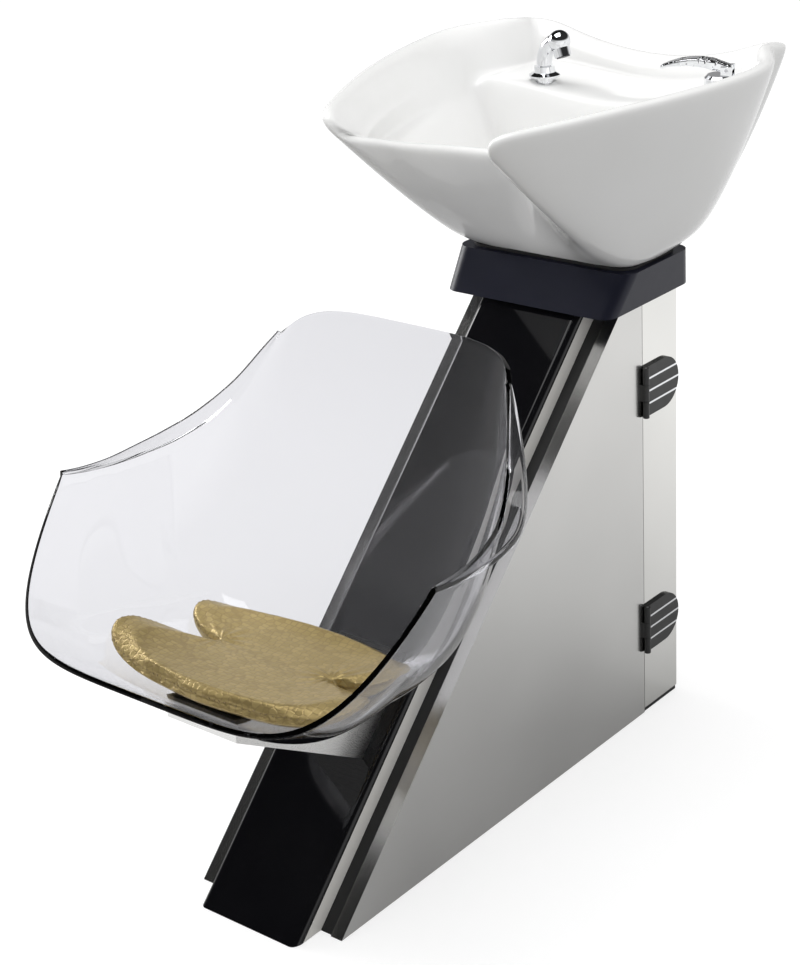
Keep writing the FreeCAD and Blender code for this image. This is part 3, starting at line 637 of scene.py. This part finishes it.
# %% Stuffing
PRESSURE, FRAMES, MOST_SWELL = 3, 15, 0.005
resting = [corner.normal.z < -0.25 for corner in cushion.data.vertices]
start = [corner.co.copy() for corner in cushion.data.vertices]
cloth = cushion.modifiers.new("stuffing", "CLOTH")
cloth.settings.use_pressure = True
cloth.settings.uniform_pressure_force = PRESSURE
cloth.settings.effector_weights.gravity = 0
for step in range(1, FRAMES + 1):
    scene.frame_set(step)
apply_all(cushion)
scene.frame_set(1)
for corner, origin, rests in zip(cushion.data.vertices, start, resting):
    move = corner.co - origin
    if rests:
        corner.co = origin
    elif move.length > MOST_SWELL:
        corner.co = origin + move * (MOST_SWELL / move.length)
smooth = cushion.modifiers.new("smooth", "SUBSURF")
smooth.levels = smooth.render_levels = 1
apply_all(cushion)
bpy.ops.object.shade_smooth()

# %% [markdown]
# The leather is sewn along the top edge, which pulls a groove into it, and the stuffing
# gathers in small pleats that fan out from each notch. Both are moves of a millimetre or
# two of the finished mesh, made after the remesh because it would wipe them.

# %% Seam and pleats
NOTCH = Vector((0.1, -0.4))
PLEATS, PLEAT_REACH, PLEAT_START, PLEAT_HEIGHT = 11, 0.055, 0.012, 0.0014
SEAM_SLOPE, SEAM_HALF, SEAM_DEPTH = 0.45, 0.12, 0.0014
for corner in cushion.data.vertices:
    normal = corner.normal.copy()
    off_seam = abs(normal.z - SEAM_SLOPE) / SEAM_HALF
    to_notch = Vector((abs(corner.co.x), corner.co.y)) - NOTCH
    fade = 1 - to_notch.length / PLEAT_REACH
    if fade > 0 and normal.z > 0.5:
        wave = math.cos(PLEATS * math.atan2(to_notch.y, to_notch.x))
        corner.co += normal * PLEAT_HEIGHT * wave * fade * min(1, to_notch.length / PLEAT_START)
    elif off_seam < 1:
        corner.co -= normal * SEAM_DEPTH * (1 - off_seam)
cushion.data.update()
print("seam and pleats pressed into", len(cushion.data.vertices), "corners")

# %% Gold leather
SCALES = (95, 120, 95)
leather = Finish("gold_scale_leather")
leather.set(Metallic=0.6)
edges = leather.node("ShaderNodeTexVoronoi", [("Vector", leather.scaled(SCALES))],
                     feature="DISTANCE_TO_EDGE", Scale=1.0, Randomness=0.55)
tones = leather.node("ShaderNodeTexVoronoi", [("Vector", leather.scaled(SCALES))],
                     feature="F1", Scale=1.0, Randomness=0.55)
crease = leather.ramp(edges.outputs["Distance"], (0, 0, 0), (1, 1, 1), 0.0, 0.14)
gold = leather.ramp(tones.outputs["Color"], (0.4, 0.3, 0.118), (0.5, 0.382, 0.16), 0.1, 0.9)
tint = leather.node("ShaderNodeMix", data_type="RGBA")
tint.inputs[6].default_value = (0.36, 0.265, 0.11, 1)
leather.tree.links.new(crease, tint.inputs[0])
leather.tree.links.new(gold, tint.inputs[7])
leather.link(tint.outputs[2], "Base Color")
leather.link(leather.spread(leather.noise(120, 3), 0.26, 0.4), "Roughness")
leather.bump(crease, 0.35, 0.0006)
settle(cushion, leather, "seat_cushion")

# %% [markdown]
# A row of short stitches runs along the seam. One stitch is a stretched ball, and it is
# copied along the seam line, which is found as the points of the pad's skin nearest to its widest
# outline.

# %% Seam line
LINE_STEPS, STITCH_DROP = 900, 0.008
WIDEST = PAD_LEVELS.index((1, 0.5))
skin = BVHTree.FromPolygons([corner.co for corner in cushion.data.vertices],
                            [face.vertices for face in cushion.data.polygons])
line = []
for step in range(LINE_STEPS):
    place = pad_place(step / LINE_STEPS, WIDEST)
    place.z += PAD_THICK / 2000 - STITCH_DROP
    line.append(skin.find_nearest(place)[:2])

# %% Stitches
STITCH_STEP, STITCH_LENGTH, THREAD = 0.008, 0.0024, 0.0006
bpy.ops.mesh.primitive_uv_sphere_add(segments=8, ring_count=5, radius=1)
stitch = bpy.context.object
copies = []
walked = 0
for (last, _), (place, normal) in zip(line, line[1:]):
    walked += (place - last).length
    if walked < STITCH_STEP:
        continue
    walked = 0
    along = (place - last).normalized()
    side = normal.cross(along).normalized()
    turn = Matrix((along, side, normal)).transposed().to_4x4()
    size = Matrix.Diagonal((STITCH_LENGTH, THREAD, THREAD, 1))
    copy = bpy.data.objects.new("stitch", stitch.data.copy())
    copy.data.transform(Matrix.Translation(place) @ turn @ size)
    scene.collection.objects.link(copy)
    copies.append(copy)
bpy.data.objects.remove(stitch)
pick(copies[0])
for copy in copies:
    copy.select_set(True)
bpy.ops.object.join()
stitches = bpy.context.object
stitches.name = "cushion_stitches"
bpy.ops.object.shade_smooth()

# %% Thread finish
thread = Finish("waxed_thread")
thread.link(thread.ramp(thread.noise(300, 2), (0.16, 0.115, 0.05), (0.3, 0.22, 0.1)), "Base Color")
thread.link(thread.spread(thread.noise(500, 2), 0.45, 0.7), "Roughness")
stitches.data.materials.clear()
stitches.data.materials.append(thread.material)
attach(stitches, "pedestal")
print("stitches:", len(copies))

# %% [markdown]
# ## Studio
# The photograph was taken against white. A large pale floor carries the object's soft
# shadow, and is lifted to white where the camera sees it, straight or through the clear
# seat. Mirrors see surroundings that are white near the horizon, brighter on the right, and
# dark above: that keeps the front cover black and draws black shapes on the chrome.

# %% Floor
# The floor's glow in mirrors rises with distance: from, to, lowest, highest.
MIRROR_GLOW, SEEN_GLOW = (0.3, 1.9, 0.12, 0.6), 0.68
bpy.ops.mesh.primitive_plane_add(size=30, location=(0, 0, -0.0005))
floor = bpy.context.object
floor.name = "studio_floor"
pale = Finish("pale_floor")
pale.set(Roughness=0.9, Specular_IOR_Level=0.1, Emission_Color=(1, 1, 1, 1))
pale.link(pale.ramp(pale.noise(1, 2), (0.38, 0.38, 0.38), (0.4, 0.4, 0.4)), "Base Color")
floor_path = pale.node("ShaderNodeLightPath")
floor_seen = pale.node("ShaderNodeMath", [(0, floor_path.outputs["Is Camera Ray"]),
                                          (1, floor_path.outputs["Is Transmission Ray"])],
                       operation="MAXIMUM")
distance = pale.node("ShaderNodeVectorMath", [(0, pale.coords)], operation="LENGTH").outputs["Value"]
far_glow = pale.node("ShaderNodeMapRange", [("Value", distance)])
for socket, value in zip(far_glow.inputs[1:5], MIRROR_GLOW):
    socket.default_value = value
mirrored_floor = pale.node("ShaderNodeMath", [(0, floor_path.outputs["Is Glossy Ray"]),
                                              (1, far_glow.outputs["Result"])], operation="MULTIPLY")
floor_glow = pale.node("ShaderNodeMath", [(0, pale.spread(floor_seen.outputs[0], 0, SEEN_GLOW)),
                                          (1, mirrored_floor.outputs[0])], operation="MAXIMUM")
pale.link(floor_glow.outputs[0], "Emission Strength")
floor.data.materials.append(pale.material)
print("floor ready")

# %% World
AMBIENT, BACKDROP = 0.9, 1.0
world = bpy.data.worlds.new("white_studio")
scene.world = world
world.use_nodes = True
tree = world.node_tree


def world_node(kind, *sources, **settings):
    """Add a node of the surroundings and feed its first sockets in order."""
    made = tree.nodes.new(kind)
    for key, value in settings.items():
        setattr(made, key, value)
    for socket, source in zip(made.inputs, sources):
        tree.links.new(source, socket)
    return made


def world_range(source, *limits):
    """Map a number from one span to another."""
    made = world_node("ShaderNodeMapRange", source)
    for socket, value in zip(made.inputs[1:5], limits):
        socket.default_value = value
    return made.outputs["Result"]


path = world_node("ShaderNodeLightPath").outputs
seen = world_node("ShaderNodeMath", path["Is Camera Ray"], path["Is Transmission Ray"],
                  operation="MAXIMUM").outputs[0]
direction = world_node("ShaderNodeTexCoord").outputs["Generated"]
height = world_node("ShaderNodeSeparateXYZ", direction).outputs["Z"]
mirrored = world_node("ShaderNodeMath", path["Is Glossy Ray"], seen,
                      operation="SUBTRACT", use_clamp=True).outputs[0]
sideways = world_node("ShaderNodeSeparateXYZ", direction).outputs["X"]
bright = world_range(sideways, -0.5, 0.5, 0.45, 1.0)
low = world_range(height, 0.16, 0.36, 1.0, 0.03)
band = world_node("ShaderNodeMath", bright, low, operation="MULTIPLY").outputs[0]
choice = world_node("ShaderNodeMix", mirrored, data_type="FLOAT")
tree.links.new(world_range(seen, 0, 1, AMBIENT, BACKDROP), choice.inputs[2])
tree.links.new(band, choice.inputs[3])
background = tree.nodes["Background"]
background.inputs["Color"].default_value = (1, 1, 1, 1)
tree.links.new(choice.outputs[0], background.inputs["Strength"])
print("surroundings ready")

# %% Lamps
def soft_lamp(name, place, aim, size, power):
    """Add a large square lamp that points at a place."""
    bpy.ops.object.light_add(type="AREA", location=place)
    lamp = bpy.context.object
    lamp.name = name
    lamp.data.size = size
    lamp.data.energy = power
    lamp.rotation_euler = (Vector(aim) - Vector(place)).to_track_quat("-Z", "Y").to_euler()
    print(name, "at", place)


soft_lamp("top_lamp", (-0.3, -0.3, 3.2), (0, 0, 0.5), 2.0, 28)
soft_lamp("left_lamp", (-3.0, 0.1, 1.7), (0, 0, 0.6), 1.4, 45)

# %% [markdown]
# ## Camera
# The viewpoint comes from the photograph's own straight edges: lines that are parallel on
# the object meet at vanishing points, which give the lens, the turn, the tilt and the
# distance together.

# %% Camera
AZIMUTH, TILT, ROLL = 40.371, 23.354, -3.261
LENS_PIXELS, LONG_SIDE, SENSOR = 2106.4, 965, 36
OFFSET = Vector((-0.053058, 0.139129, 3.076822))
PIVOT = Vector((0, -0.05, 0.35))
camera = bpy.data.objects.new("camera", bpy.data.cameras.new("camera"))
scene.collection.objects.link(camera)
turn = Euler((math.radians(90 - TILT), 0, math.radians(AZIMUTH))).to_matrix()
turn = turn @ Matrix.Rotation(math.radians(ROLL), 3, "Z")
camera.matrix_world = Matrix.Translation(turn @ OFFSET + PIVOT) @ turn.to_4x4()
camera.data.lens = LENS_PIXELS * SENSOR / LONG_SIDE
scene.camera = camera
scene.view_settings.view_transform = "Standard"
print("camera at", [round(value, 3) for value in camera.location])
